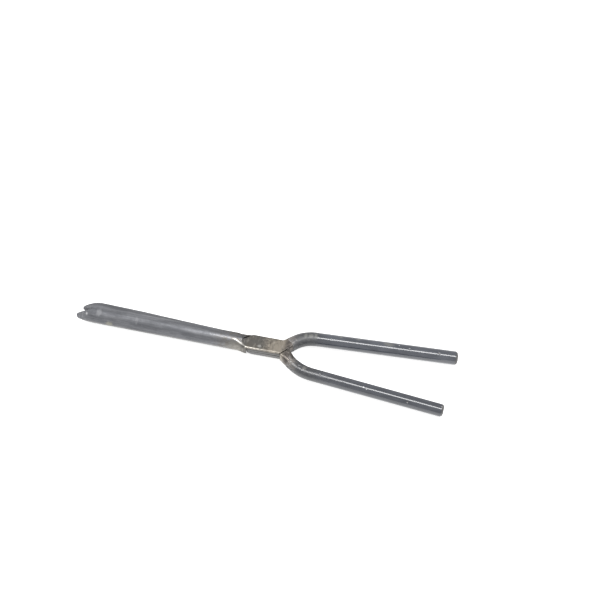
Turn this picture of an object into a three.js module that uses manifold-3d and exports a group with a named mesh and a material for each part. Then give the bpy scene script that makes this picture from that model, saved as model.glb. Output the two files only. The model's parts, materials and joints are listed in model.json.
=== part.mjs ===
// Hair curling tongs of the stove-heated kind, in millimetres, +Z up, lying on a table at z = 0.
// Two crossing steel arms turn about one upright rivet:
//   shell_arm   a trough-shaped jaw, the upper plate of the lap joint and one handle bar
//   rod_arm     a round rod jaw, the lower plate of the lap joint and the other handle bar
//   pivot_rivet the countersunk rivet that holds the two plates together
// Both arms are drawn closed, with the jaws lying together along -X, and the rod arm is then
// turned open by OPEN_ANGLE_DEG. The handle bars are drawn where they lie with the jaws so opened.
import * as THREE from 'three';
import { mergeVertices } from 'three/addons/utils/BufferGeometryUtils.js';
import Module from 'manifold-3d';

// ---- driving dimensions ----
const PIVOT_X = 3.09;             // pivot axis ahead of the middle of the whole tool
const AXIS_Z = 5.95;              // height of the jaw axis over the table
const OPEN_ANGLE_DEG = 2.2;       // how far the jaws stand open as drawn

const SHELL_LENGTH = 123.3;       // pivot to the tip of the trough jaw
const SHELL_ROOT_RADIUS = 5.69;   // outside of the trough where it meets the joint
const SHELL_WALL = 0.95;
const SHELL_WALL_RISE = 2.9;      // straight walls past the jaw axis
const SHELL_WALL_END = 17.0;      // pivot to the inner end of the trough walls

const ROD_LENGTH = 121.5;         // pivot to the tip of the rod jaw
const ROD_RADIUS = 4.45;

const PLATE_HALF_WIDTH = 5.2;
const PLATE_HALF_STACK = 3.8;     // half of the two plates together
const LAP_GAP = 0.3;              // between the two lap faces
const SHOULDER_GAP = 0.3;         // between a plate's end and the other arm's shoulder
const LAP_POINT = 14.4;           // pivot to the pointed ends of the lap

const RIVET_RADIUS = 2.2;
const RIVET_HEAD_RADIUS = 3.0;
const RIVET_HEAD_DEPTH = 0.9;
const RIVET_GAP = 0.08;

const FAR_BAR_RADIUS = 4.38;      // handle bar of the shell arm
const NEAR_BAR_RADIUS = 3.98;     // handle bar of the rod arm
const BAR_END_ROUNDING = 1.1;
const BAR_END_DROP = 1.65;        // the bar ends come down to rest on the table

const RING_POINTS = 40;
const BEND_STEPS = 14;
const ROOT_LENGTH = 6.5;           // how far a bar takes to grow round

// ---- small helpers ----
const rad = (degrees) => degrees * Math.PI / 180;

// A closed skin over rings of equal point counts, each ring fanned shut at its own middle.
function loft(rings) {
  const count = rings[0].length;
  const positions = [];
  for (const ring of rings) {
    for (const point of ring) positions.push(point.x, point.y, point.z);
  }
  const index = [];
  for (let row = 0; row < rings.length - 1; row += 1) {
    for (let i = 0; i < count; i += 1) {
      const a = row * count + i;
      const b = row * count + (i + 1) % count;
      index.push(a, b, b + count, a, b + count, a + count);
    }
  }
  const addCap = (ring, start, flip) => {
    const middle = new THREE.Vector3();
    for (const point of ring) middle.addScaledVector(point, 1 / count);
    const centre = positions.length / 3;
    positions.push(middle.x, middle.y, middle.z);
    for (let i = 0; i < count; i += 1) {
      const a = start + i;
      const b = start + (i + 1) % count;
      if (flip) index.push(centre, b, a);
      else index.push(centre, a, b);
    }
  };
  addCap(rings[0], 0, true);
  addCap(rings[rings.length - 1], (rings.length - 1) * count, false);
  const geometry = new THREE.BufferGeometry();
  geometry.setAttribute('position', new THREE.Float32BufferAttribute(positions, 3));
  geometry.setIndex(signedVolume(positions, index) < 0 ? index.reverse() : index);
  return geometry;
}

function signedVolume(positions, index) {
  const corner = (i) => new THREE.Vector3().fromArray(positions, index[i] * 3);
  let volume = 0;
  for (let i = 0; i < index.length; i += 3) {
    volume += corner(i).dot(corner(i + 1).cross(corner(i + 2))) / 6;
  }
  return volume;
}

// A rounded rectangle standing across the X axis; with the corner equal to both halves it is a circle.
function sectionRing(x, halfY, halfZ, corner, middleY = 0, middleZ = 0) {
  const ring = [];
  const perCorner = RING_POINTS / 4;
  const corners = [[1, 1, 0], [-1, 1, 90], [-1, -1, 180], [1, -1, 270]];
  for (const [signY, signZ, startDegrees] of corners) {
    for (let i = 0; i < perCorner; i += 1) {
      const angle = rad(startDegrees + 90 * (i + 0.5) / perCorner);
      const y = middleY + signY * (halfY - corner) + corner * Math.cos(angle);
      const z = middleZ + signZ * (halfZ - corner) + corner * Math.sin(angle);
      ring.push(new THREE.Vector3(x, y, z));
    }
  }
  return ring;
}

// A trough section: a half circle on the -Y side carried on by straight walls to y = rise.
function troughRing(x, radius, rise) {
  const ring = [new THREE.Vector3(x, rise, -radius), new THREE.Vector3(x, rise, radius)];
  const steps = 28;
  for (let i = 0; i <= steps; i += 1) {
    const angle = rad(90 + 180 * i / steps);
    ring.push(new THREE.Vector3(x, radius * Math.cos(angle), radius * Math.sin(angle)));
  }
  return ring;
}

// An upright prism over a plan outline given as [x, y] corners.
function prism(outline, low, high) {
  const shape = new THREE.Shape(outline.map(([x, y]) => new THREE.Vector2(x, y)));
  const geometry = new THREE.ExtrudeGeometry(shape, { depth: high - low, bevelEnabled: false });
  geometry.translate(0, 0, low);
  return geometry;
}

// A bar swept along a path of points; each point carries the rounded section that stands there.
function bar(points) {
  const rings = points.map(({ at, across, high, corner }, i) => {
    const before = points[Math.max(i - 1, 0)].at;
    const after = points[Math.min(i + 1, points.length - 1)].at;
    const along = new THREE.Vector3().subVectors(after, before).normalize();
    const side = new THREE.Vector3(-along.y, along.x, 0).normalize();
    const up = new THREE.Vector3().crossVectors(along, side).normalize();
    const ring = sectionRing(0, across, high, corner)
      .map((p) => at.clone().addScaledVector(side, p.y).addScaledVector(up, p.z));
    return ring;
  });
  return loft(rings);
}

// ---- joining and cutting ----
const wasm = await Module();
wasm.setup();

function toSolid(geometry) {
  const source = geometry.clone();
  source.deleteAttribute('normal');
  source.deleteAttribute('uv');
  const merged = mergeVertices(source, 1e-5);
  const mesh = new wasm.Mesh({
    numProp: 3,
    vertProperties: new Float32Array(merged.attributes.position.array),
    triVerts: new Uint32Array(merged.index.array),
  });
  mesh.merge();
  return new wasm.Manifold(mesh);
}

function toGeometry(solid) {
  const mesh = solid.getMesh();
  const geometry = new THREE.BufferGeometry();
  const positions = new Float32Array(mesh.numVert * 3);
  for (let i = 0; i < mesh.numVert; i += 1) {
    for (let k = 0; k < 3; k += 1) positions[i * 3 + k] = mesh.vertProperties[i * mesh.numProp + k];
  }
  geometry.setAttribute('position', new THREE.Float32BufferAttribute(positions, 3));
  geometry.setIndex(Array.from(mesh.triVerts));
  return geometry;
}

// ---- shell jaw ----
// [distance from pivot, outside radius]
const SHELL_TAPER = [
  [SHELL_WALL_END - 4, SHELL_ROOT_RADIUS], [60, 5.77], [106, AXIS_Z], [112.7, 5.9], [116.7, 5.72],
  [119.6, 5.45], [121.6, 5.1], [122.7, 4.8], [SHELL_LENGTH, 4.45],
];
// [distance from pivot, how far the rim reaches across the jaw axis]
const RIM_LINE = [
  [88, SHELL_WALL_RISE], [97, 2.85], [101.5, 2.6], [106.5, 2.0], [110, 1.2], [112.5, 0.3],
  [115, -0.9], [117.2, -2.05], [120, -3.0], [122.4, -3.7], [SHELL_LENGTH + 0.5, -4.3],
];

function shellJaw() {
  const outer = toSolid(loft(SHELL_TAPER.map(([d, r]) => troughRing(-d, r, SHELL_WALL_RISE))));
  const hollow = SHELL_TAPER.slice(1, -1).map(([d, r]) => [d, r - SHELL_WALL]);
  hollow.unshift([SHELL_WALL_END - 6, SHELL_ROOT_RADIUS - SHELL_WALL]);
  hollow.push([SHELL_LENGTH + 1, 3.55]);
  const inner = toSolid(loft(hollow.map(([d, r]) => troughRing(-d, r, SHELL_WALL_RISE + 2))));
  const beyondRim = RIM_LINE.map(([d, y]) => [-d, y]);
  beyondRim.push([-SHELL_LENGTH - 0.5, SHELL_WALL_RISE + 3]);
  beyondRim.push([-88, SHELL_WALL_RISE + 3]);
  const beyondWallEnd = [[-SHELL_WALL_END - 0.6, SHELL_WALL_RISE + 0.1], [-LAP_POINT - 0.15, -0.15],
    [-LAP_POINT - 0.15, -8], [-5, -8], [-5, 8], [-SHELL_WALL_END - 0.6, 8]];
  return outer.subtract(inner)
    .subtract(toSolid(prism(beyondRim, -9, 9)))
    .subtract(toSolid(prism(beyondWallEnd, -9, 9)));
}

// ---- rod jaw ----
// [distance from pivot, radius, middle shifted across the axis]
const ROD_TAPER = [
  [15.6, ROD_RADIUS, 0], [84, ROD_RADIUS, 0], [104, 4.2, 0], [110.5, 4.15, -0.05],
  [112.9, 3.95, -0.2], [115, 3.55, -0.45], [116.7, 3.1, -0.8], [118.5, 2.5, -1.15], [120, 1.85, -1.5],
  [121, 1.25, -1.75], [ROD_LENGTH, 0.6, -1.9],
];

function rodJaw() {
  const rod = toSolid(loft(ROD_TAPER.map(([d, r, shift]) => sectionRing(-d, r, r, r, shift))));
  const besideNeck = [[-26.3, -8], [-20.6, 0.2], [-10, 0.2], [-10, -8]];
  return rod.subtract(toSolid(prism(besideNeck, -9, 9)));
}

// ---- lap joint ----
// Steel at the joint of the shell arm: [x, near edge, far edge, half height, corner].
const SHELL_JOINT = [
  [-26, -SHELL_ROOT_RADIUS, SHELL_ROOT_RADIUS, SHELL_ROOT_RADIUS, SHELL_ROOT_RADIUS],
  [-17.5, -SHELL_ROOT_RADIUS, SHELL_ROOT_RADIUS, SHELL_ROOT_RADIUS, SHELL_ROOT_RADIUS],
  [-15.8, -5.7, 5.55, 5.4, 4.85],
  [-14.2, -5.74, 5.3, 4.7, 3.0],
  [-12.8, -5.8, 5.1, 4.05, 1.75],
  [-11.4, -5.8, 5.0, PLATE_HALF_STACK, 1.1],
  [-9.5, -5.7, 5.0, PLATE_HALF_STACK, 0.9],
  [9.8, -5.1, 5.15, PLATE_HALF_STACK, 0.9],
  [17, -5.1, 5.15, PLATE_HALF_STACK, 0.9],
];
// The same for the rod arm, whose narrow neck runs right up to its plate.
const ROD_JOINT = [
  [-26, -4.65, 4.65, 4.65, 4.65],
  [-17.5, -4.65, 4.65, 4.65, 4.65],
  [-14.5, -4.85, 4.6, 4.5, 4.1],
  [-12, -5.5, 4.5, 4.15, 2.9],
  [-10.2, -5.8, 4.55, 3.85, 2.0],
  [-8.9, -5.75, 4.7, PLATE_HALF_STACK, 1.2],
  [-8.2, -5.7, 5.1, PLATE_HALF_STACK, 0.9],
  [9.8, -4.7, 5.2, PLATE_HALF_STACK, 0.9],
  [17, -4.7, 5.2, PLATE_HALF_STACK, 0.9],
];

function jointBody(sections) {
  return toSolid(loft(sections.map(([x, near, far, halfZ, corner]) => {
    const halfY = (far - near) / 2;
    return sectionRing(x, halfY, halfZ, Math.min(corner, halfY, halfZ), (far + near) / 2);
  })));
}

// Plans are drawn for the shell arm, which lies at -Y on the jaw side and at +Y on the handle side,
// and are turned over for the rod arm.
const turnOver = (outline, over) => (over ? outline.map(([x, y]) => [x, -y]).reverse() : outline);

// Where the arm is whole on the jaw side; the neck starts on a slope inside the jaw.
function neckPlan(shoulderX) {
  const back = SHOULDER_GAP / 2;
  return [[-26, -8], [shoulderX - back, -8], [shoulderX - back, -PLATE_HALF_WIDTH],
    [-LAP_POINT - back, -back], [-20, -back], [-25.5, -6.5]];
}

// The plate between the two shoulders of the other arm.
function platePlan(otherJawX, otherHandleX, ownJawX, ownHandleX) {
  const back = SHOULDER_GAP / 2;
  return [
    [-LAP_POINT + back, 0.1], [otherJawX + back, PLATE_HALF_WIDTH], [otherJawX + back, 8],
    [ownHandleX + 0.7, 8], [ownHandleX + 0.7, PLATE_HALF_WIDTH], [LAP_POINT + 0.5, 0.4],
    [LAP_POINT - back, -0.1],
    [otherHandleX - back, -PLATE_HALF_WIDTH], [otherHandleX - back, -8],
    [ownJawX - 1, -8], [ownJawX - 1, -PLATE_HALF_WIDTH], [-LAP_POINT - 1, -1.2],
  ];
}

function armJoint(sections, over, own, other) {
  const body = jointBody(sections);
  const neck = body.intersect(toSolid(prism(turnOver(neckPlan(own.jaw), over), -9, 9)));
  const outline = turnOver(platePlan(other.jaw, other.handle, own.jaw, own.handle), over);
  const levels = over ? [-9, -LAP_GAP / 2] : [LAP_GAP / 2, 9];
  return neck.add(body.intersect(toSolid(prism(outline, ...levels))));
}

// ---- rivet ----
// The rivet's outline, or with a clearance the outline of the hole that it turns in.
function rivetProfile(clearance) {
  const isHole = clearance > 0;
  const shank = RIVET_RADIUS + clearance;
  const head = RIVET_HEAD_RADIUS + clearance;
  const flush = PLATE_HALF_STACK - 0.05;
  const shoulder = flush - RIVET_HEAD_DEPTH;
  const half = isHole
    ? [[shank, shoulder], [head, flush], [head, PLATE_HALF_STACK + 1], [0, PLATE_HALF_STACK + 1]]
    : [[shank, shoulder], [head, flush], [0, flush]];
  const mirrored = half.map(([x, y]) => [x, -y]).reverse();
  return [...mirrored, ...half].map(([x, y]) => new THREE.Vector2(x, y));
}

function rivetSolid(grow) {
  const geometry = new THREE.LatheGeometry(rivetProfile(grow), 40);
  geometry.rotateX(Math.PI / 2);
  return toSolid(geometry);
}

// ---- handle bars ----
// A bar leaves the shoulder of the joint square-shouldered, grows round, bends on an arc and
// runs straight to its rounded end. Each point carries its half width, half height and corner.
function handlePath({ start, corner, end, bendLength, rootWidth, radius, taper }) {
  const a = new THREE.Vector2(...start);
  const c = new THREE.Vector2(...corner);
  const e = new THREE.Vector2(...end);
  const back = new THREE.Vector2().subVectors(a, c).normalize();
  const on = new THREE.Vector2().subVectors(e, c).normalize();
  const from = c.clone().addScaledVector(back, bendLength);
  const to = c.clone().addScaledVector(on, bendLength);
  const plan = [];
  for (const share of [-0.3, 0, 0.3, 0.6]) plan.push(a.clone().lerp(from, share));
  for (let i = 0; i <= BEND_STEPS; i += 1) {
    const t = i / BEND_STEPS;
    const point = from.clone().multiplyScalar((1 - t) * (1 - t));
    point.addScaledVector(c, 2 * t * (1 - t));
    point.addScaledVector(to, t * t);
    plan.push(point);
  }
  for (const share of [0.25, 0.5, 0.75]) plan.push(to.clone().lerp(e, share));
  const roundingSteps = 4;
  const roundingFrom = plan.length;
  for (let i = 0; i <= roundingSteps; i += 1) {
    const inset = BAR_END_ROUNDING * (1 - Math.sin(rad(90 * i / roundingSteps)));
    plan.push(e.clone().addScaledVector(on, -inset));
  }
  const reach = e.x - c.x;
  return plan.map((p, i) => {
    const along = Math.max(0, (p.x - c.x) / reach);
    const grown = Math.min(1, Math.max(0, p.distanceTo(a) / ROOT_LENGTH));
    const ease = i < 1 ? 0 : grown * grown * (3 - 2 * grown);
    let across = rootWidth + (radius - rootWidth) * ease - taper * along;
    let high = PLATE_HALF_STACK + (radius - PLATE_HALF_STACK) * ease - taper * along;
    if (i >= roundingFrom) {
      const shrink = BAR_END_ROUNDING * (1 - Math.cos(rad(90 * (i - roundingFrom) / roundingSteps)));
      across -= shrink;
      high -= shrink;
    }
    const cornerRadius = Math.min(across, high) * (0.3 + 0.7 * ease);
    return {
      at: new THREE.Vector3(p.x, p.y, -BAR_END_DROP * along),
      across, high, corner: cornerRadius,
    };
  });
}

// Keeps a bar on its own side of the pointed lap end and beyond the other arm's plate.
function barRegion(shoulderX, over) {
  const back = SHOULDER_GAP / 2;
  const outline = [[shoulderX + back, PLATE_HALF_WIDTH], [LAP_POINT + back, back],
    [130, back], [130, 40], [shoulderX - 4, 40], [shoulderX - 4, PLATE_HALF_WIDTH + 4]];
  return toSolid(prism(turnOver(outline, over), -9, 9));
}

const FAR_BAR = {
  start: [12.2, 2.5], corner: [21.5, 11.75], end: [116.9, 19.02],
  bendLength: 8, rootWidth: 3.65, radius: FAR_BAR_RADIUS, taper: 0.1,
};
const NEAR_BAR = {
  start: [12.1, -2.95], corner: [22.9, -12.5], end: [112.95, -19.43],
  bendLength: 9, rootWidth: 3.5, radius: NEAR_BAR_RADIUS, taper: 0.1,
};

// ---- assembly ----
const SHELL_SHOULDERS = { jaw: -11.2, handle: 9.9 };
const ROD_SHOULDERS = { jaw: -8.9, handle: 9.8 };

function shellArm() {
  const joint = armJoint(SHELL_JOINT, false, SHELL_SHOULDERS, ROD_SHOULDERS);
  const handle = toSolid(bar(handlePath(FAR_BAR))).intersect(barRegion(SHELL_SHOULDERS.handle, false));
  return shellJaw().add(joint).add(handle).subtract(rivetSolid(RIVET_GAP));
}

function rodArm() {
  const joint = armJoint(ROD_JOINT, true, ROD_SHOULDERS, SHELL_SHOULDERS);
  const side = barRegion(ROD_SHOULDERS.handle, true);
  const open = [0, 0, -OPEN_ANGLE_DEG];
  const handle = toSolid(bar(handlePath(NEAR_BAR))).intersect(side.rotate(open));
  return rodJaw().add(joint).rotate(open).add(handle).subtract(rivetSolid(RIVET_GAP));
}

function place(solid) {
  return toGeometry(solid.translate([PIVOT_X, 0, AXIS_Z]));
}

function part(name, solid, color, roughness) {
  const material = new THREE.MeshStandardMaterial({ color, metalness: 0.9, roughness, flatShading: true });
  const mesh = new THREE.Mesh(place(solid), material);
  mesh.name = name;
  return mesh;
}

const group = new THREE.Group();
group.name = 'hair_curling_tongs';
group.add(part('shell_arm', shellArm(), 0x70757c, 0.45));
group.add(part('rod_arm', rodArm(), 0x666b72, 0.45));
group.add(part('pivot_rivet', rivetSolid(0), 0x5c5f63, 0.5));

export default group;
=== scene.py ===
"""Hair curling tongs of the stove-heated kind, lying a little open on a pale table.

Two forged steel arms cross in a lap joint and turn about one rivet. One arm ends in a
trough-shaped jaw, the other in a round rod that lies in the trough. The handle bars are
coated with black enamel, which has worn away where they leave the joint.

Lengths in the shape code are millimetres from the rivet, with the jaws along -X.
"""
import json
import math

import bpy
import numpy as np
from mathutils import Matrix, Vector, noise


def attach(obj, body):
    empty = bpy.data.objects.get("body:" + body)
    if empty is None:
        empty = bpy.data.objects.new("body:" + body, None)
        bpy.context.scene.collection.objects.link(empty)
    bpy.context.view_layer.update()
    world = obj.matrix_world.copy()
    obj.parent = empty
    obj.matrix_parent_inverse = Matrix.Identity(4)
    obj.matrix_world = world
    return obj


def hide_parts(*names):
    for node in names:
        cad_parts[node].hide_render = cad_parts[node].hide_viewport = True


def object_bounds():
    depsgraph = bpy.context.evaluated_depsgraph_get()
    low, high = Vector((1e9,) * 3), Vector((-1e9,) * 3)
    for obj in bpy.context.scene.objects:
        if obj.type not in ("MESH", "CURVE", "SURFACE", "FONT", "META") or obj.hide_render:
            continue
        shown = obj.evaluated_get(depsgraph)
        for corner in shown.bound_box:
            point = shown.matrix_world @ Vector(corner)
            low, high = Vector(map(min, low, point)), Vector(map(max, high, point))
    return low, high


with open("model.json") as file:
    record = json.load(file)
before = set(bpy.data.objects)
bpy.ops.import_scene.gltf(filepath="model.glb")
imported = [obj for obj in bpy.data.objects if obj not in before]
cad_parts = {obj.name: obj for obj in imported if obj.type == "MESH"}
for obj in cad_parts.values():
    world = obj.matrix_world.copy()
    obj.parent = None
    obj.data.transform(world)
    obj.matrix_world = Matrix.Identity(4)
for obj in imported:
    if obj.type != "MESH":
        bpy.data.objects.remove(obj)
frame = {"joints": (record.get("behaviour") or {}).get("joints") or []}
CAD_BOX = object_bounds()

PIVOT = Vector(frame["joints"][0]["pos_m"])
SHELL_BODY, ROD_BODY = "shell_side", "rod_side"
MM = 0.001
TABLE_Z = CAD_BOX[0][2]
TABLE_SIDE = 8.0

# ---- light and camera, in metres ----
SURROUNDINGS = 0.85
STRIP_ELEVATION = math.radians(85)
STRIP_DISTANCE = 0.8
STRIP_SIZE = (1.6, 0.2)
STRIP_RADIANCE = 9.0
CAMERA_AZIMUTH = math.radians(12.85)
CAMERA_ELEVATION = math.radians(54)
CAMERA_DISTANCE = 0.517
AIM_RIGHT, AIM_UP = 0.02103, 0.02897

# ---- sizes, in millimetres ----
OPEN_ANGLE = math.radians(2.2)  # how far the jaws stand open as the tongs lie
SHELL_LENGTH = 123.3
SHELL_ROOT = 5.69  # outer radius of the trough where it starts
SHELL_WALL = 0.95
HOLLOW_AT_TIP = 3.55  # radius of the hollow just past the tip
WALL_RISE = 2.9  # how far the trough's straight walls reach past its middle
WALL_END = 17.0  # where they stop before the joint
PLATE_HALF_WIDTH = 5.2
HALF_STACK = 3.8  # half the thickness of the two lap plates together
LAP_HALF_GAP = 0.15
LAP_POINT = 14.4  # where the slanted lap ends cross the middle line
SHELL_SHOULDERS = (-11.2, 9.9)  # where they meet the plate's sides
ROD_SHOULDERS = (-8.9, 9.8)
NECK_START = -26
RIVET_HOLE_RADIUS = 2.96
BAR_ROUNDING = 1.8  # at the free ends
BAR_DROP = 1.65  # how much lower the bars' ends lie
BAR_TAPER = 0.1
ROOT_LENGTH = 6.5  # over which a bar changes from its square root to round
ROOT_CORNER = 0.3  # corner radius at the root, as a share of the half width
ENAMEL_DEPTH = 0.2
ENAMEL_UNDERCUT = 0.12  # worn enamel sinks by its depth and this, out of sight in the steel
ENAMEL_SEAT = 0.15  # the coat's inner skin lies its depth and this below its outer one
ENAMEL_LUMPS = 0.02
CORE_INSET = 0.05  # the steel under the coat is this much shorter and thinner all round
DENT_DEPTH = 0.05
DENT_SIZE = 7
# Cutting blocks reach this far from the rivet, and so past the steel: up and down, and sideways.
ABOVE = 9
BESIDE = 8
# ---- fineness ----
VOXEL = 0.2
SOFTEN_FACTOR, SOFTEN_ROUNDS = 0.5, 2
TRIANGLES = 190000  # the most that a welded arm keeps
RING_POINTS = 96
HOLE_POINTS = 64
TROUGH_STEPS = 56
BEND_STEPS = 40

# Distance from the rivet towards the tips, and radius.
SHELL_TAPER = [
    (13, 5.69), (60, 5.77), (106, 5.95), (112.7, 5.9), (116.7, 5.72),
    (119.6, 5.45), (121.6, 5.1), (122.7, 4.8), (123.3, 4.45),
]
# The trough wall's edge where it runs down to the tip: distance and y.
RIM_LINE = [
    (88, 2.9), (97, 2.85), (101.5, 2.6), (106.5, 2.0), (110, 1.2), (112.5, 0.3),
    (115, -0.9), (117.2, -2.05), (120, -3.0), (122.4, -3.7), (123.8, -4.3),
]
# Distance, radius, and how far the middle is shifted in y.
ROD_TAPER = [
    (15.6, 4.45, 0), (84, 4.45, 0), (104, 4.2, 0), (110.5, 4.15, -0.05), (112.9, 3.95, -0.2),
    (115, 3.55, -0.45), (116.7, 3.1, -0.8), (118.5, 2.5, -1.15), (120, 1.85, -1.5),
    (121, 1.25, -1.75), (121.5, 0.6, -1.9),
]
# Steel at the joint: x, near edge, far edge, half height, corner radius.
SHELL_JOINT = [
    (-26, -5.69, 5.69, 5.69, 5.69), (-17.5, -5.69, 5.69, 5.69, 5.69),
    (-15.8, -5.7, 5.55, 5.4, 4.85), (-14.2, -5.74, 5.3, 4.7, 3.0),
    (-12.8, -5.8, 5.1, 4.05, 1.75), (-11.4, -5.8, 5.0, 3.8, 1.1),
    (-9.5, -5.7, 5.0, 3.8, 0.9), (9.8, -5.1, 5.15, 3.8, 0.9), (17, -5.1, 5.15, 3.8, 0.9),
]
ROD_JOINT = [
    (-26, -4.65, 4.65, 4.65, 4.65), (-17.5, -4.65, 4.65, 4.65, 4.65),
    (-14.5, -4.85, 4.6, 4.5, 4.1), (-12, -5.5, 4.5, 4.15, 2.9),
    (-10.2, -5.8, 4.55, 3.85, 2.0), (-8.9, -5.75, 4.7, 3.8, 1.2),
    (-8.2, -5.7, 5.1, 3.8, 0.9), (9.8, -4.7, 5.2, 3.8, 0.9), (17, -4.7, 5.2, 3.8, 0.9),
]
# The handle bars: their middle lines in plan with how far the bend reaches from its corner, half
# width at the root, radius, where along the bar the enamel starts and how slowly, and a noise seed.
FAR_BAR = {
    "start": (12.2, 2.5), "corner": (21.5, 11.75), "end": (116.9, 19.02),
    "bend": 8, "root": 3.65, "radius": 4.38, "coat_from": 0.0, "coat_fade": 7, "seed": 3.0,
}
NEAR_BAR = {
    "start": (12.1, -2.95), "corner": (22.9, -12.5), "end": (112.95, -19.43),
    "bend": 9, "root": 3.5, "radius": 3.98, "coat_from": 3.5, "coat_fade": 14, "seed": 11.0,
}
# Half of the rivet's outline: radius and height above its middle.
RIVET_OUTLINE = [
    (0.02, 3.78), (1.6, 3.78), (2.6, 3.77), (2.9, 3.76), (2.98, 3.74), (2.98, 3.4), (2.2, 2.6),
]


# ---- mesh helpers ----
def smoothstep(value, low, high):
    """0 below low, 1 above high, and a smooth ramp between."""
    share = np.clip((value - low) / (high - low), 0, 1)
    return share * share * (3 - 2 * share)


def make_object(name, points, faces):
    """A mesh object from points in millimetres about the rivet."""
    mesh = bpy.data.meshes.new(name)
    placed = np.asarray(points, float) * MM + np.array(PIVOT)
    mesh.from_pydata(placed.tolist(), [], faces)
    mesh.validate()
    made = bpy.data.objects.new(name, mesh)
    bpy.context.scene.collection.objects.link(made)
    return made


def loft(name, rings):
    """A closed skin over rings of equal point counts, fanned shut at both ends."""
    rings = np.asarray(rings, float)
    rows, count = rings.shape[:2]
    points = rings.reshape(-1, 3).tolist()
    points += [rings[0].mean(0).tolist(), rings[-1].mean(0).tolist()]
    first_middle, last_middle = rows * count, rows * count + 1
    faces = []
    for row in range(rows - 1):
        for i in range(count):
            a = row * count + i
            b = row * count + (i + 1) % count
            faces.append((a, b, b + count, a + count))
    last = (rows - 1) * count
    for i in range(count):
        j = (i + 1) % count
        faces.append((first_middle, j, i))
        faces.append((last_middle, last + i, last + j))
    made = make_object(name, points, faces)
    face_outward(made)
    return made


def face_outward(made):
    """Turns a closed mesh so that its faces look out."""
    mesh = made.data
    mesh.calc_loop_triangles()
    points = np.array([v.co for v in mesh.vertices])
    corners = points[np.array([t.vertices for t in mesh.loop_triangles])]
    volume = np.einsum("ij,ij->i", corners[:, 0], np.cross(corners[:, 1], corners[:, 2])).sum()
    if volume < 0:
        mesh.flip_normals()


def prism(name, outline, low, high):
    """An upright block over a plan outline."""
    count = len(outline)
    points = [(x, y, low) for x, y in outline] + [(x, y, high) for x, y in outline]
    faces = [tuple(reversed(range(count))), tuple(range(count, 2 * count))]
    for i in range(count):
        j = (i + 1) % count
        faces.append((i, j, j + count, i + count))
    made = make_object(name, points, faces)
    face_outward(made)
    return made


def applied(made):
    """Replaces an object's mesh by what its modifiers make of it."""
    graph = bpy.context.evaluated_depsgraph_get()
    result = bpy.data.meshes.new_from_object(made.evaluated_get(graph))
    made.modifiers.clear()
    made.data = result
    return made


def carve(made, tool, operation):
    """Cuts an object with a tool, or keeps what lies inside the tool; the tool is used up."""
    modifier = made.modifiers.new("carve", "BOOLEAN")
    modifier.operation = operation
    modifier.solver = "EXACT"
    modifier.object = tool
    applied(made)
    bpy.data.objects.remove(tool)
    return made


def turn(made, angle):
    """Turns a mesh about the rivet's axis."""
    made.data.transform(
        Matrix.Translation(PIVOT) @ Matrix.Rotation(angle, 4, "Z") @ Matrix.Translation(-PIVOT)
    )
    return made


def weld(name, parts):
    """One closed skin round overlapping solids, with slightly softened edges."""
    points, faces = [], []
    for part in parts:
        offset = len(points)
        points += [v.co.copy() for v in part.data.vertices]
        faces += [tuple(offset + i for i in p.vertices) for p in part.data.polygons]
        bpy.data.objects.remove(part)
    mesh = bpy.data.meshes.new(name)
    mesh.from_pydata(points, [], faces)
    made = bpy.data.objects.new(name, mesh)
    bpy.context.scene.collection.objects.link(made)
    skin = made.modifiers.new("skin", "REMESH")
    skin.mode = "VOXEL"
    skin.voxel_size = VOXEL * MM
    applied(made)
    soften = made.modifiers.new("soften", "SMOOTH")
    soften.factor = SOFTEN_FACTOR
    soften.iterations = SOFTEN_ROUNDS
    applied(made)
    triangles = 2 * len(made.data.polygons)
    if triangles > TRIANGLES:
        thin = made.modifiers.new("thin", "DECIMATE")
        thin.ratio = TRIANGLES / triangles
        applied(made)
    return made


def dent(made, depth, size, seed):
    """Sinks the surface by up to depth (mm) in soft hollows of about that size (mm)."""
    mesh = made.data
    points = np.empty(len(mesh.vertices) * 3)
    mesh.vertices.foreach_get("co", points)
    points = points.reshape(-1, 3)
    normals = np.array([v.normal for v in mesh.vertices])
    shift = Vector((seed, seed * 1.7, -seed))
    hollow = np.array([noise.noise(Vector(p) / (size * MM) + shift) for p in points])
    sunk = points - normals * (np.clip(0.5 + hollow, 0, 1) * depth * MM)[:, None]
    mesh.vertices.foreach_set("co", sunk.ravel())
    mesh.update()
    return made


def shade_smooth(made):
    """Shades a mesh as one smooth surface."""
    made.data.polygons.foreach_set("use_smooth", [True] * len(made.data.polygons))
    made.data.update()


# ---- sections ----
def rounded_section(half_y, half_z, corner, middle_y=0.0):
    """Points (y, z) round a rectangle with rounded corners."""
    per_corner = RING_POINTS // 4
    points = []
    for sign_y, sign_z, start in ((1, 1, 0), (-1, 1, 90), (-1, -1, 180), (1, -1, 270)):
        for i in range(per_corner):
            angle = math.radians(start + 90 * (i + 0.5) / per_corner)
            y = middle_y + sign_y * (half_y - corner) + corner * math.cos(angle)
            z = sign_z * (half_z - corner) + corner * math.sin(angle)
            points.append((y, z))
    return points


def trough_section(radius, rise):
    """A half circle on the -Y side carried on by straight walls up to y = rise."""
    points = [(rise, -radius), (rise, radius)]
    for i in range(TROUGH_STEPS + 1):
        angle = math.radians(90 + 180 * i / TROUGH_STEPS)
        points.append((radius * math.cos(angle), radius * math.sin(angle)))
    return points


def circle(radius, count):
    """Points round a circle about the rivet's middle."""
    angles = np.linspace(0, math.tau, count + 1)[:-1]
    return [(radius * math.cos(a), radius * math.sin(a)) for a in angles]


def at_x(x, section):
    """A section's points, stood up at that x."""
    return [(x, y, z) for y, z in section]


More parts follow.
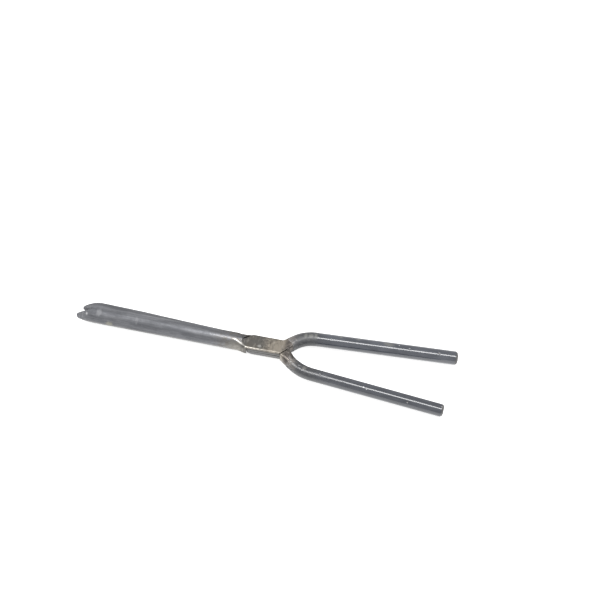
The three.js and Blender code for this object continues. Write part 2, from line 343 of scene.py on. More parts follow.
# ---- jaws ----
def shell_jaw():
    """A trough: the outer skin less its hollow, with the wall cut down at the tip and at the joint."""
    outer = loft("outer", [at_x(-d, trough_section(r, WALL_RISE)) for d, r in SHELL_TAPER])
    hollow = [(d, r - SHELL_WALL) for d, r in SHELL_TAPER[1:-1]]
    hollow = [(WALL_END - 6, SHELL_ROOT - SHELL_WALL)] + hollow + [(SHELL_LENGTH + 1, HOLLOW_AT_TIP)]
    inner = loft("inner", [at_x(-d, trough_section(r, WALL_RISE + 2)) for d, r in hollow])
    carve(outer, inner, "DIFFERENCE")
    beyond_rim = [(-d, y) for d, y in RIM_LINE]
    beyond_rim += [(-SHELL_LENGTH - 0.5, WALL_RISE + 3), (-RIM_LINE[0][0], WALL_RISE + 3)]
    carve(outer, prism("rim", beyond_rim, -ABOVE, ABOVE), "DIFFERENCE")
    wall_x, lap_x = -WALL_END - 0.6, -LAP_POINT - LAP_HALF_GAP
    beyond_end = [
        (wall_x, WALL_RISE + 0.1), (lap_x, -LAP_HALF_GAP), (lap_x, -BESIDE),
        (-5, -BESIDE), (-5, BESIDE), (wall_x, BESIDE),
    ]
    return carve(outer, prism("end", beyond_end, -ABOVE, ABOVE), "DIFFERENCE")


def rod_jaw():
    """A tapering round rod, cut away where it runs beside the shell arm's neck."""
    rod = loft("rod", [at_x(-d, rounded_section(r, r, r, shift)) for d, r, shift in ROD_TAPER])
    beside_neck = [(-26.3, -BESIDE), (-20.6, 0.2), (-10, 0.2), (-10, -BESIDE)]
    return carve(rod, prism("beside", beside_neck, -ABOVE, ABOVE), "DIFFERENCE")


# ---- lap joint ----
def joint_body(name, sections):
    """The steel round the joint at its full thickness, before the plans cut it."""
    rings = []
    for x, near, far, half_z, corner in sections:
        half_y = (far - near) / 2
        corner = min(corner, half_y, half_z)
        rings.append(at_x(x, rounded_section(half_y, half_z, corner, (far + near) / 2)))
    return loft(name, rings)


def turned_over(outline, over):
    """Plans are drawn for the shell arm; the rod arm's are the same turned over."""
    return [(x, -y) for x, y in reversed(outline)] if over else outline


def neck_plan(shoulder_x):
    """Where an arm keeps its whole thickness: from the jaw to the slanted lap end."""
    back = LAP_HALF_GAP
    return [
        (NECK_START, -BESIDE), (shoulder_x - back, -BESIDE), (shoulder_x - back, -PLATE_HALF_WIDTH),
        (-LAP_POINT - back, -back), (-20, -back), (-25.5, -6.5),
    ]


def plate_plan(own, other):
    """Where an arm has half its thickness, between the two arms' slanted lap ends.

    It reaches a little into the arm's own neck and bar, so that they weld into one piece.
    """
    back = LAP_HALF_GAP
    return [
        (-LAP_POINT + back, 0.1), (other[0] + back, PLATE_HALF_WIDTH), (other[0] + back, BESIDE),
        (own[1] + 0.7, BESIDE), (own[1] + 0.7, PLATE_HALF_WIDTH), (LAP_POINT + 0.5, 0.4),
        (LAP_POINT - back, -0.1), (other[1] - back, -PLATE_HALF_WIDTH), (other[1] - back, -BESIDE),
        (own[0] - 1, -BESIDE), (own[0] - 1, -PLATE_HALF_WIDTH), (-LAP_POINT - 1, -1.2),
    ]


def arm_joint(sections, over, own, other):
    """The neck, through the whole thickness, and the plate, which has half of it."""
    neck = joint_body("neck", sections)
    plate = joint_body("plate", sections)
    neck_outline = turned_over(neck_plan(own[0]), over)
    plate_outline = turned_over(plate_plan(own, other), over)
    low, high = (-ABOVE, -LAP_HALF_GAP) if over else (LAP_HALF_GAP, ABOVE)
    carve(neck, prism("plan", neck_outline, -ABOVE, ABOVE), "INTERSECT")
    carve(plate, prism("plan", plate_outline, low, high), "INTERSECT")
    return [neck, plate]


# ---- handle bars ----
def bar_line(bar, step):
    """Points along a bar's middle: x, y, and the distance run from its start."""
    start, corner, end = (Vector(bar[key]) for key in ("start", "corner", "end"))
    bend_from = corner + (start - corner).normalized() * bar["bend"]
    bend_to = corner + (end - corner).normalized() * bar["bend"]
    into_joint = 1.2
    line = [start + (start - corner).normalized() * into_joint, start, bend_from]
    for i in range(1, BEND_STEPS + 1):
        t = i / BEND_STEPS
        line.append(bend_from * (1 - t) ** 2 + corner * (2 * t * (1 - t)) + bend_to * t * t)
    line.append(end)
    line = np.array(line)
    gaps = np.linalg.norm(np.diff(line, axis=0), axis=1)
    run = np.concatenate([[0], np.cumsum(gaps)]) - gaps[0]
    wanted = np.linspace(run[0], run[-1], int((run[-1] - run[0]) / step) + 1)
    x, y = (np.interp(wanted, run, line[:, k]) for k in (0, 1))
    return np.column_stack([x, y, wanted])


def bar_rings(bar, step, sink, inset=0.0):
    """Rings along a bar. sink(run, angle) lowers the surface; inset shortens and thins it."""
    line = bar_line(bar, step)
    total = line[-1, 2] - inset
    line = line[line[:, 2] <= total]
    reach = bar["end"][0] - bar["corner"][0]
    tangents = np.gradient(line[:, :2], axis=0)
    tangents /= np.linalg.norm(tangents, axis=1)[:, None]
    rings = []
    for (x, y, run), tangent in zip(line, tangents):
        along = max(0.0, (x - bar["corner"][0]) / reach)
        ease = float(smoothstep(run, 0, ROOT_LENGTH))
        across = bar["root"] + (bar["radius"] - bar["root"]) * ease - BAR_TAPER * along - inset
        high = HALF_STACK + (bar["radius"] - HALF_STACK) * ease - BAR_TAPER * along - inset
        left = total - run
        if left < BAR_ROUNDING:
            into_curve = BAR_ROUNDING - left
            shrink = BAR_ROUNDING - math.sqrt(max(0.0, BAR_ROUNDING**2 - into_curve**2))
            across -= shrink
            high -= shrink
        corner = min(across, high) * (ROOT_CORNER + (1 - ROOT_CORNER) * ease)
        section = np.array(rounded_section(across, high, corner))
        lengths = np.linalg.norm(section, axis=1)
        angles = np.arctan2(section[:, 1], section[:, 0])
        section *= (1 - sink(run, angles) / lengths)[:, None]
        ring = np.empty((len(section), 3))
        ring[:, 0] = x - tangent[1] * section[:, 0]
        ring[:, 1] = y + tangent[0] * section[:, 0]
        ring[:, 2] = -BAR_DROP * along + section[:, 1]
        rings.append(ring)
    return rings


def bar_core(bar):
    """The steel bar, slightly thinner where the enamel covers it and just inside it at the end."""
    def sink(run, angles):
        depth = ENAMEL_DEPTH * smoothstep(run, bar["coat_from"], bar["coat_from"] + 5)
        return np.full(len(angles), depth)

    return loft("core", bar_rings(bar, 0.8, sink, inset=CORE_INSET))


def bar_side(shoulder_x, over):
    """Keeps a bar on its own side of the pointed lap end and beyond the other arm's plate."""
    back = LAP_HALF_GAP
    far_x, far_y = 130, 40
    outline = [
        (shoulder_x + back, PLATE_HALF_WIDTH), (LAP_POINT + back, back), (far_x, back), (far_x, far_y),
        (shoulder_x - 4, far_y), (shoulder_x - 4, PLATE_HALF_WIDTH + 4),
    ]
    return prism("side", turned_over(outline, over), -ABOVE, ABOVE)


def coat_cover(bar, run, angle):
    """How well the enamel covers a spot, from 0 (worn away) to 1."""
    seed = bar["seed"]
    raggedness, chip_level, chip_steepness = 1.6, 0.66, 12
    around_x, around_y = math.cos(angle), math.sin(angle)
    patch_spot = Vector((run * 0.28 + seed, around_x * 1.3, around_y * 1.3 + seed))
    patch = noise.fractal(patch_spot, 0.7, 2.1, 4)
    grown = (run - bar["coat_from"]) / bar["coat_fade"] * 2 + patch * raggedness - 0.3
    chip = noise.noise(Vector((run * 0.55 + seed * 2, around_x * 2.4, around_y * 2.4 - seed)))
    chipped = max(0.0, chip - chip_level) * chip_steepness
    return min(1.0, max(0.0, grown)) * (1 - min(1.0, chipped))


def enamel_coat(bar, name):
    """A closed cup of enamel over the bar, with a ragged edge at the root and a few chips.

    Its inner skin and its worn parts lie inside the steel, so only whole enamel shows.
    """
    def skin(run, angles):
        cover = np.array([coat_cover(bar, run, a) for a in angles])
        lump = np.array([
            noise.noise(Vector((run * 0.22, math.cos(a) * 0.9, math.sin(a) * 0.9 + bar["seed"])))
            for a in angles
        ])
        return (1 - cover) * (ENAMEL_DEPTH + ENAMEL_UNDERCUT) + ENAMEL_LUMPS * (0.5 + 0.5 * lump)

    def even(run, angles):
        return np.zeros(len(angles))

    outer_step = 0.3
    inner_step = 1.5
    outside = bar_rings(bar, outer_step, skin)
    inside = bar_rings(bar, inner_step, even, inset=ENAMEL_DEPTH + ENAMEL_SEAT)
    outside = outside[first_ring_past(bar["coat_from"] - 2, outer_step):]
    inside = inside[first_ring_past(bar["coat_from"] - 1, inner_step):]
    return loft(name, list(reversed(inside)) + outside)


def first_ring_past(run, step):
    """The number of the first ring beyond a distance, with rings at even steps from 0."""
    return max(0, math.floor(run / step) + 1)


# ---- pieces ----
def rivet_hole():
    """A round block that drills an arm for the rivet."""
    return prism("hole", circle(RIVET_HOLE_RADIUS, HOLE_POINTS), -ABOVE, ABOVE)


def rivet():
    """A countersunk rivet hammered flush: a shank and two low, slightly crowned heads."""
    profile = RIVET_OUTLINE + [(r, -z) for r, z in reversed(RIVET_OUTLINE)]
    rings = [[(x, y, z) for x, y in circle(r, RING_POINTS)] for r, z in profile]
    return loft("rivet_peened", rings)


def riveted_arm(name, parts, seed):
    """An arm's parts drilled for the rivet, welded into one piece and slightly dented."""
    drilled = [carve(part, rivet_hole(), "DIFFERENCE") for part in parts]
    return dent(weld(name, drilled), DENT_DEPTH, DENT_SIZE, seed)


def shell_arm():
    """The trough jaw, the upper lap plate and the far bar."""
    jaw = shell_jaw()
    bar = carve(bar_core(FAR_BAR), bar_side(SHELL_SHOULDERS[1], False), "INTERSECT")
    joint = arm_joint(SHELL_JOINT, False, SHELL_SHOULDERS, ROD_SHOULDERS)
    return riveted_arm("shell_arm_steel", [jaw, bar] + joint, 5.0)


def rod_arm():
    """The rod jaw, the lower lap plate and the near bar; jaw and plate are drawn closed, then turned."""
    jaw = turn(rod_jaw(), -OPEN_ANGLE)
    joint = arm_joint(ROD_JOINT, True, ROD_SHOULDERS, SHELL_SHOULDERS)
    joint = [turn(part, -OPEN_ANGLE) for part in joint]
    side = turn(bar_side(ROD_SHOULDERS[1], True), -OPEN_ANGLE)
    bar = carve(bar_core(NEAR_BAR), side, "INTERSECT")
    return riveted_arm("rod_arm_steel", [jaw, bar] + joint, 9.0)


# ---- materials ----
class Look:
    """A node material, with short names for the nodes that the looks are made of.

    place is a spot on the piece in millimetres from the rivet; masks run from 0 to 1.
    """

    def __init__(self, name):
        self.material = bpy.data.materials.new(name)
        self.material.use_nodes = True
        self.tree = self.material.node_tree
        self.shader = self.tree.nodes["Principled BSDF"]
        spot = self.node("ShaderNodeTexCoord")
        mapping = self.node("ShaderNodeMapping")
        mapping.inputs["Scale"].default_value = (1 / MM,) * 3
        mapping.inputs["Location"].default_value = [-c / MM for c in PIVOT]
        self.link(spot.outputs["Object"], mapping.inputs["Vector"])
        self.place = mapping.outputs["Vector"]

    def node(self, kind, **settings):
        """A new node with those settings."""
        made = self.tree.nodes.new(kind)
        for key, value in settings.items():
            setattr(made, key, value)
        return made

    def link(self, out, into):
        """Joins one node's output to another's input."""
        self.tree.links.new(out, into)

    def feed(self, socket, value):
        """Links an output to a socket, or sets the socket to a plain value."""
        if isinstance(value, bpy.types.NodeSocket):
            self.link(value, socket)
        else:
            socket.default_value = value

    def noise(self, scale, detail, rough, turn=0.0, shift=(0, 0, 0), warp=0.0):
        """A noise with that many features to the millimetre along x, y and z."""
        mapping = self.node("ShaderNodeMapping")
        mapping.inputs["Scale"].default_value = scale
        mapping.inputs["Rotation"].default_value = (0, 0, turn)
        mapping.inputs["Location"].default_value = shift
        return self.noise_over(mapping, detail, rough, warp)

    def streaks(self, angle, length, width):
        """A noise drawn out along a direction in the table's plane."""
        mapping = self.node("ShaderNodeMapping", vector_type="TEXTURE")
        mapping.inputs["Rotation"].default_value = (0, 0, angle)
        mapping.inputs["Scale"].default_value = (length, width, width)
        return self.noise_over(mapping, 5, 0.65, 0.0)

    def noise_over(self, mapping, detail, rough, warp):
        """A noise read at the place that a mapping gives."""
        self.link(self.place, mapping.inputs["Vector"])
        made = self.node("ShaderNodeTexNoise")
        self.link(mapping.outputs["Vector"], made.inputs["Vector"])
        made.inputs["Scale"].default_value = 1
        made.inputs["Detail"].default_value = detail
        made.inputs["Roughness"].default_value = rough
        made.inputs["Distortion"].default_value = warp
        return made.outputs["Fac"]

    def step(self, value, low, high, start=0.0, end=1.0):
        """Start below low, end above high, and a smooth ramp between."""
        made = self.node("ShaderNodeMapRange", interpolation_type="SMOOTHSTEP")
        self.feed(made.inputs["Value"], value)
        made.inputs["From Min"].default_value = low
        made.inputs["From Max"].default_value = high
        made.inputs["To Min"].default_value = start
        made.inputs["To Max"].default_value = end
        return made.outputs["Result"]

    def math(self, operation, a, b):
        """A sum, difference or product of two values."""
        made = self.node("ShaderNodeMath", operation=operation)
        self.feed(made.inputs[0], a)
        self.feed(made.inputs[1], b)
        return made.outputs["Value"]

    def both(self, *masks):
        """The product of any number of masks: 1 only where all of them are 1."""
        result = masks[0]
        for mask in masks[1:]:
            result = self.math("MULTIPLY", result, mask)
        return result

    def mix(self, mask, below, above):
        """One colour laid over another where the mask is 1."""
        made = self.node("ShaderNodeMix", data_type="RGBA")
        factor, first_colour, second_colour, colour_out = 0, 6, 7, 2
        self.feed(made.inputs[factor], mask)
        self.feed(made.inputs[first_colour], (*below, 1) if isinstance(below, tuple) else below)
        self.feed(made.inputs[second_colour], (*above, 1) if isinstance(above, tuple) else above)
        return made.outputs[colour_out]

    def axes(self):
        """x, y and z of the spot, apart."""
        made = self.node("ShaderNodeSeparateXYZ")
        self.link(self.place, made.inputs[0])
        return made.outputs[0], made.outputs[1], made.outputs[2]

    def band(self, value, low, high, soft):
        """1 between low and high, falling off softly outside."""
        rise = self.step(value, low - soft, low + soft)
        fall = self.step(value, high - soft, high + soft, 1.0, 0.0)
        return self.both(rise, fall)

    def spot(self, centre, radii, strength, ragged):
        """A blot with those radii along x, y and z and a ragged, soft edge."""
        scaled = self.node("ShaderNodeMapping")
        self.link(self.place, scaled.inputs["Vector"])
        scaled.inputs["Scale"].default_value = [1 / r for r in radii]
        scaled.inputs["Location"].default_value = [-c / r for c, r in zip(centre, radii)]
        away = self.node("ShaderNodeVectorMath", operation="LENGTH")
        self.link(scaled.outputs["Vector"], away.inputs[0])
        reach = self.math("ADD", away.outputs["Value"], self.math("MULTIPLY", ragged, -1.6))
        return self.step(reach, 0.3, -0.4, 0.0, strength)

    def bump(self, height, strength, distance):
        """Fine relief, as deep as that distance in millimetres at full strength."""
        made = self.node("ShaderNodeBump")
        made.inputs["Strength"].default_value = strength
        made.inputs["Distance"].default_value = distance * MM
        self.link(height, made.inputs["Height"])
        self.link(made.outputs["Normal"], self.shader.inputs["Normal"])


# Colours are linear. Places in the looks are in millimetres from the rivet, with the jaws along -X,
# the near side at -Y and the top at +Z.
JAW_DARK, JAW_LIGHT = (0.115, 0.118, 0.128), (0.165, 0.168, 0.18)
POLISHED = (0.31, 0.31, 0.318)
# A paler tone painted on the jaws' lower near flank as a reflection of the white table.
PAINTED_TABLE_REFLECTION = (0.25, 0.248, 0.245)
BROWN_STAIN = (0.115, 0.104, 0.09)
# The second neck colour is a painted highlight.
NECK_TAN, NECK_PAINTED_HIGHLIGHT = (0.25, 0.238, 0.21), (0.85, 0.83, 0.78)
PLATE_GREY, PLATE_TAN = (0.112, 0.107, 0.099), (0.27, 0.24, 0.2)
SIDE_GREY = (0.13, 0.13, 0.132)
# Pale rubbed steel, also laid on the plate's near arris as a painted highlight.
RUBBED_STEEL_AND_EDGE_HIGHLIGHT = (0.5, 0.47, 0.42)
# Dark grime, also used as painted shade on the joint's near side.
GRIME_AND_PAINTED_SHADE = (0.035, 0.032, 0.028)
ROOT_BROWN, ROOT_PALE = (0.085, 0.077, 0.071), (0.16, 0.142, 0.126)
OCHRE = (0.32, 0.31, 0.25)
CHALK = (0.42, 0.42, 0.43)
CHIP = (0.6, 0.6, 0.6)
PALE_MARK = (0.4, 0.39, 0.37)
DEEP_BLACK = (0.012, 0.013, 0.016)
LICHEN = (0.14, 0.14, 0.125)
TABLE_WHITES = (0.6, 0.6, 0.6), (0.63, 0.63, 0.63)


def jaw_colour(look, x, y, z, mottle):
    """Cool grey steel with dull streaks along the jaws, stained brown towards the joint, with a painted
    reflection of the table on the lower near flank and a painted highlight on the neck.
    """
    clouds = look.noise((0.07, 0.3, 0.3), 4, 0.6)
    streaks = look.noise((0.035, 1.4, 1.4), 4, 0.6, shift=(3, 0, 5))
    scratches = look.noise((0.5, 5.0, 5.0), 2, 0.5, turn=0.12, shift=(0, 4, 0))
    colour = look.mix(look.step(clouds, 0.35, 0.65), JAW_DARK, JAW_LIGHT)
    colour = look.mix(look.step(streaks, 0.5, 0.72, 0, 0.4), colour, POLISHED)
    colour = look.mix(look.step(streaks, 0.46, 0.3, 0, 0.5), colour, JAW_DARK)
    colour = look.mix(look.step(scratches, 0.66, 0.8, 0, 0.35), colour, POLISHED)
    # Painted reflection of the white table: the lower near flank is made paler, in streaks.
    low_line = look.both(look.step(y, -4.5, -5.2), look.band(z, -2.8, -0.2, 0.5))
    paler_streaks = look.both(low_line, look.step(streaks, 0.3, 0.6, 0.5, 0.85))
    colour = look.mix(paler_streaks, colour, PAINTED_TABLE_REFLECTION)
    stain = look.both(look.step(x, -38, -20), look.step(mottle, 0.42, 0.62, 0.1, 0.8))
    colour = look.mix(stain, colour, BROWN_STAIN)
    flank = look.both(look.step(x, -30, -17), look.step(y, -2.6, -4.2))
    colour = look.mix(look.both(flank, look.step(mottle, 0.35, 0.6, 0.9, 0.5)), colour, NECK_TAN)
    # Painted highlight along the neck, where the trough runs down into the plate.
    return look.mix(neck_highlight_path(look, x, y), colour, NECK_PAINTED_HIGHLIGHT)


def neck_highlight_path(look, x, y):
    """The line where the trough runs down into the plate: rubbed smoother, and painted with a highlight
    that is faint at first and bright at its end.
    """
    drift = look.math("ADD", y, look.step(x, -20, -12.0, 0.0, 2.7))
    growing = look.math("ADD", look.step(x, -36, -27, 0.0, 0.06), look.step(x, -22, -17.5, 0.0, 0.9))
    return look.both(growing, look.step(x, -11.4, -12.4), look.band(drift, -2.35, -1.65, 0.35))


def tip_marks(look, x, colour):
    """Pale smears across the jaw near its tip and an ochre patch on its lower edge."""
    smear = look.noise((0.9, 0.35, 0.35), 4, 0.7, turn=0.5, shift=(2, 2, 0))
    hazy = look.both(look.step(x, -112, -119), look.step(smear, 0.45, 0.7, 0, 0.3))
    colour = look.mix(hazy, colour, CHALK)
    colour = look.mix(look.spot((-108, -1.9, 5.2), (1.9, 3.4, 2.5), 0.26, smear), colour, CHALK)
    colour = look.mix(look.spot((-83, -2.3, 5.1), (1.2, 3.2, 2.5), 0.16, smear), colour, CHALK)
    colour = look.mix(look.spot((-115.7, -3.6, 4.3), (0.6, 0.9, 0.9), 0.6, smear), colour, CHIP)
    return look.mix(look.spot((-101.0, -5.5, 0.4), (2.8, 1.5, 2.4), 0.55, smear), colour, OCHRE)


def plate_colour(look, x, mottle):
    """Dark at the jaw end and rubbed to a warm tan at the handle end, with soft brown patches."""
    across = look.noise((0.8, 0.2, 0.2), 3, 0.6, turn=0.15, shift=(5, 5, 5))
    patches = look.noise((0.2, 0.2, 0.2), 3, 0.55, shift=(2, 6, 0), warp=0.8)
    edge = look.math("ADD", x, look.math("MULTIPLY", mottle, 9))
    colour = look.mix(look.step(edge, 1.0, 9.0), PLATE_GREY, PLATE_TAN)
    colour = look.mix(look.step(patches, 0.46, 0.64, 0, 0.7), colour, BROWN_STAIN)
    colour = look.mix(look.step(across, 0.52, 0.72, 0, 0.22), colour, RUBBED_STEEL_AND_EDGE_HIGHLIGHT)
    colour = look.mix(look.step(across, 0.45, 0.3, 0, 0.4), colour, BROWN_STAIN)
    pale = look.spot((-3.8, -2.9, 3.8), (1.9, 1.1, 1.5), 0.6, across)
    return look.mix(pale, colour, PALE_MARK)


def root_colour(look, y):
    """Brown steel with pale rubbed streaks along the bars, where the enamel has gone."""
    near, far = look.streaks(-0.72, 4.0, 0.9), look.streaks(0.78, 4.0, 0.9)
    paler_streaks = look.step(look.mix(look.step(y, -0.5, 0.5), near, far), 0.42, 0.62)
    return look.mix(paler_streaks, ROOT_BROWN, ROOT_PALE)


def near_side_marks(look, x, y, z, mottle, colour):
    """The joint's near side: grey, with a dark seam and a painted shadow line along it and painted shade
    at the jaw end, under an arris that is rubbed and carries a painted highlight.
    """
    side = look.both(look.step(y, -4.2, -4.6), look.band(x, -11.6, 10.2, 0.3))
    colour = look.mix(look.both(side, look.step(z, 2.9, 2.5, 0, 0.9)), colour, SIDE_GREY)
    # Painted shadow under the arris: a dark band standing for the shade of the lap gap.
    shade = look.both(look.band(z, 1.5, 2.7, 0.3), look.step(mottle, 0.3, 0.6, 0.85, 0.6))
    seam = look.band(z, -0.4, 0.4, 0.3)
    # Painted shade in the corner at the jaw end of the near side.
    jaw_end_shade = look.step(x, -9.9, -10.8, 0, 0.85)
    for dark in (shade, seam, jaw_end_shade):
        colour = look.mix(look.both(side, dark), colour, GRIME_AND_PAINTED_SHADE)
    # Painted highlight on the rubbed arris: a paler colour along the plate's near top edge.
    arris = look.both(look.step(y, -4.5, -4.8), look.band(x, -12.2, 10.4, 0.5), look.step(z, 3.05, 3.3))
    edge_wear_and_highlight = look.both(look.step(mottle, 0.4, 0.6, 1.0, 0.4), look.step(x, 4, -6, 0.3, 0.95))
    return look.mix(look.both(arris, edge_wear_and_highlight), colour, RUBBED_STEEL_AND_EDGE_HIGHLIGHT)


def steel_look(name):
    """Worn forged steel: grey jaws, a plate rubbed tan, and brown roots where the bars begin."""
    look = Look(name)
    x, y, z = look.axes()
    mottle = look.noise((0.45, 0.6, 0.6), 6, 0.65, shift=(7, 3, 1))
    grain = look.noise((3.2, 3.2, 3.2), 3, 0.7)
    colour = tip_marks(look, x, jaw_colour(look, x, y, z, mottle))
    joint_start = look.math("ADD", x, look.math("MULTIPLY", y, -0.35))
    colour = look.mix(look.step(joint_start, -15.5, -11.0), colour, plate_colour(look, x, mottle))
    # Darker on the far side where the trough ends and the plate begins.
    far_trough_end_darkening = look.both(look.band(x, -17.5, -11.5, 2.0), look.step(y, -1.5, 1.5, 0, 0.28))
    colour = look.mix(far_trough_end_darkening, colour, GRIME_AND_PAINTED_SHADE)
    colour = near_side_marks(look, x, y, z, mottle, colour)
    colour = look.mix(look.step(x, 10.2, 13.5), colour, root_colour(look, y))
    colour = look.mix(look.step(grain, 0.55, 0.8, 0, 0.3), colour, POLISHED)
    colour = look.mix(look.step(grain, 0.42, 0.25, 0, 0.45), colour, GRIME_AND_PAINTED_SHADE)
    look.feed(look.shader.inputs["Base Color"], colour)
    look.shader.inputs["Metallic"].default_value = 0.85
    smooth_shine = look.step(neck_highlight_path(look, x, y), 0, 1, 1.0, 0.2)
    dull_jaws = look.both(look.step(x, -18, -75, 0.0, 0.26), smooth_shine)
    rough = look.math("ADD", look.step(mottle, 0.3, 0.7, 0.34, 0.44), dull_jaws)
    look.feed(look.shader.inputs["Roughness"], rough)
    look.bump(look.math("ADD", mottle, grain), 0.5, 0.05)
    return look.material


# Each bar's enamel: its colours, how far along it is brown, charred and dull, the roughness that
# the dull part adds, and blots and chips by centre and radii.
FAR_WEAR = {
    "dark": (0.03, 0.034, 0.044), "light": (0.05, 0.055, 0.068),
    "brown_to": 16, "char_to": 30, "glossy": (28.5, 31.5), "dulling": (0.18, 0.42),
    "end": FAR_BAR["end"][0],
    "blots": [
        ((22.8, 11.0, 4.2), (1.2, 2.2, 1.6)), ((26.1, 11.4, 4.2), (1.5, 1.8, 1.6)),
        ((29.0, 12.1, 4.2), (1.0, 2.6, 1.6)), ((44.5, 14.8, 3.6), (1.2, 1.0, 1.0)),
        ((74.0, 16.4, 3.6), (4.0, 1.6, 1.5)), ((55.0, 15.6, 3.6), (1.5, 1.0, 1.2)),
    ],
    "chips": [((80.5, 17.2, 3.4), (0.5, 0.4, 0.5)), ((71, 11.7, -2.7), (0.9, 0.8, 0.8))],
}
NEAR_WEAR = {
    "dark": (0.018, 0.021, 0.029), "light": (0.036, 0.04, 0.051),
    "brown_to": 20, "char_to": 34, "glossy": (20, 70), "dulling": (0.12, 0.24),
    "end": NEAR_BAR["end"][0],
    "blots": [((39.4, -16.9, -2.0), (2.2, 1.2, 1.5)), ((27, -12.0, 3.6), (1.6, 1.5, 1.5))],
    "chips": [((64.0, -16.7, 3.3), (0.7, 0.35, 0.6)), ((66.2, -17.6, 3.0), (0.6, 0.3, 0.5))],
}


def enamel_colour(look, wear, dull, mottle, grain):
    """Blue-black, charred and lichen-grey near the joint and brown where it thins out, with chips."""
    x, y, z = look.axes()
    clouds = look.noise((0.12, 0.4, 0.4), 4, 0.6, shift=(1, 8, 2))
    flecks = look.noise((0.9, 1.3, 1.3), 3, 0.6, shift=(3, 3, 3))
    colour = look.mix(look.step(clouds, 0.35, 0.65), wear["dark"], wear["light"])
    charred = look.step(x, wear["char_to"] + 8, wear["char_to"] - 5, 0, 0.85)
    colour = look.mix(charred, colour, DEEP_BLACK)
    colour = look.mix(look.both(dull, look.step(mottle, 0.5, 0.66, 0, 0.3)), colour, LICHEN)
    top_flecks = look.both(look.step(z, 0.5, 2.0), look.step(flecks, 0.68, 0.76, 0, 0.6))
    colour = look.mix(top_flecks, colour, LICHEN)
    ragged_x = look.math("ADD", x, look.math("MULTIPLY", look.math("SUBTRACT", mottle, 0.5), 16))
    browned = look.step(ragged_x, wear["brown_to"] + 3, wear["brown_to"] - 3)
    brown = look.mix(look.step(z, 2.9, 0.9, 0, 0.7), root_colour(look, y), DEEP_BLACK)
    colour = look.mix(browned, colour, brown)
    for centre, radii in wear["blots"]:
        colour = look.mix(look.spot(centre, radii, 0.55, mottle), colour, LICHEN)
    for centre, radii in wear["chips"]:
        colour = look.mix(look.spot(centre, radii, 0.9, grain), colour, CHIP)
    return look.mix(look.step(x, wear["end"] - 2.0, wear["end"] - 0.6, 0, 0.8), colour, GRIME_AND_PAINTED_SHADE)


def enamel_look(name, wear):
    """Glossy blue-black enamel, dull where heat has reached it and where its end has been knocked."""
    look = Look(name)
    x = look.axes()[0]
    mottle = look.noise((0.7, 0.8, 0.8), 6, 0.7, shift=(4, 0, 2), warp=0.5)
    grain = look.noise((3.0, 3.0, 3.0), 3, 0.7)
    dull = look.step(x, wear["glossy"][1], wear["glossy"][0])
    look.feed(look.shader.inputs["Base Color"], enamel_colour(look, wear, dull, mottle, grain))
    dulling = look.both(dull, look.step(mottle, 0.3, 0.6, *wear["dulling"]))
    rough = look.math("ADD", look.step(mottle, 0.45, 0.7, 0.13, 0.19), dulling)
    rough = look.math("ADD", rough, look.step(x, wear["end"] - 1.6, wear["end"] - 0.4, 0, 0.5))
    look.feed(look.shader.inputs["Roughness"], rough)
    look.shader.inputs["IOR"].default_value = 1.8
    look.bump(look.math("ADD", mottle, look.math("MULTIPLY", grain, 0.3)), 0.04, 0.02)
    return look.material


def floor_look(name):
    """A white table, bright enough by itself to show only the faintest shadow."""
    look = Look(name)
    patches = look.noise((0.01, 0.01, 0.01), 2, 0.5)
    look.feed(look.shader.inputs["Base Color"], look.mix(patches, *TABLE_WHITES))
    look.shader.inputs["Roughness"].default_value = 0.9
    look.shader.inputs["Emission Color"].default_value = (1, 1, 1, 1)
    look.shader.inputs["Emission Strength"].default_value = 0.75
    return look.material


# ---- putting it together ----
def finish_piece(made, look, body, node):
    """Gives a piece its material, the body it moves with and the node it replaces."""
    shade_smooth(made)
    made.data.materials.clear()
    made.data.materials.append(look)
    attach(made, body)
    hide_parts(node)


def build_tongs():
    """Builds the five pieces of the tongs."""
    finish_piece(shell_arm(), steel_look("worn_steel_shell"), SHELL_BODY, "shell_arm")
    finish_piece(rod_arm(), steel_look("worn_steel_rod"), ROD_BODY, "rod_arm")
    far, near = enamel_look("black_enamel_far", FAR_WEAR), enamel_look("black_enamel_near", NEAR_WEAR)
    finish_piece(enamel_coat(FAR_BAR, "far_enamel"), far, SHELL_BODY, "shell_arm")
    finish_piece(enamel_coat(NEAR_BAR, "near_enamel"), near, ROD_BODY, "rod_arm")
    finish_piece(rivet(), steel_look("rivet_steel_look"), ROD_BODY, "pivot_rivet")


def build_floor():
    """A large square table top that the tongs lie on."""
    mesh = bpy.data.meshes.new("table_top")
    half = TABLE_SIDE / 2
    corners = [(x * half, y * half, TABLE_Z) for x, y in ((-1, -1), (1, -1), (1, 1), (-1, 1))]
    mesh.from_pydata(corners, [], [(0, 1, 2, 3)])
    floor = bpy.data.objects.new("table_top", mesh)
    bpy.context.scene.collection.objects.link(floor)
    mesh.materials.append(floor_look("pale_table"))


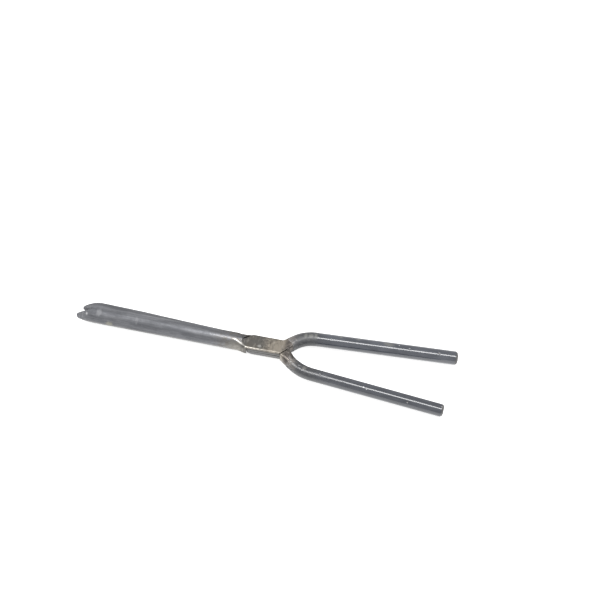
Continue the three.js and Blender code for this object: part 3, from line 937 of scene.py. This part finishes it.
def area_light(name, direction, distance, size, radiance):
    """A rectangular lamp, long along X, looking at the rivet; radiance is how bright its face is."""
    data = bpy.data.lights.new(name, "AREA")
    data.shape = "RECTANGLE"
    data.size, data.size_y = size
    data.energy = radiance * math.pi * size[0] * size[1]
    lamp = bpy.data.objects.new(name, data)
    bpy.context.scene.collection.objects.link(lamp)
    out = Vector(direction).normalized()
    long_axis = Vector((1, 0, 0))
    side = (long_axis - out * out.dot(long_axis)).normalized()
    up = out.cross(side)
    turn_to = Matrix((side, up, out)).transposed().to_4x4()
    lamp.matrix_world = Matrix.Translation(PIVOT + out * distance) @ turn_to


def build_light():
    """White surroundings and one long soft strip overhead, a little towards the near side."""
    world = bpy.data.worlds.new("studio")
    bpy.context.scene.world = world
    world.use_nodes = True
    background = world.node_tree.nodes["Background"]
    background.inputs["Color"].default_value = (1, 1, 1, 1)
    background.inputs["Strength"].default_value = SURROUNDINGS
    direction = (0, -math.cos(STRIP_ELEVATION), math.sin(STRIP_ELEVATION))
    area_light("strip", direction, STRIP_DISTANCE, STRIP_SIZE, STRIP_RADIANCE)


def build_camera():
    """A camera above the near side, looking at a spot a little beyond the rivet."""
    sin_round, cos_round = math.sin(CAMERA_AZIMUTH), math.cos(CAMERA_AZIMUTH)
    sin_up, cos_up = math.sin(CAMERA_ELEVATION), math.cos(CAMERA_ELEVATION)
    right = Vector((cos_round, sin_round, 0))
    back = Vector((sin_round * cos_up, -cos_round * cos_up, sin_up))
    up = back.cross(right)
    aim = PIVOT + right * AIM_RIGHT + up * AIM_UP
    facing = Matrix((right, up, back)).transposed().to_4x4()
    data = bpy.data.cameras.new("camera")
    data.lens = 50
    data.sensor_width = 36
    data.clip_start = 0.01
    camera = bpy.data.objects.new("camera", data)
    bpy.context.scene.collection.objects.link(camera)
    camera.matrix_world = Matrix.Translation(aim + back * CAMERA_DISTANCE) @ facing
    bpy.context.scene.camera = camera
    bpy.context.scene.view_settings.view_transform = "Standard"


build_camera()
build_light()
build_floor()
build_tongs()
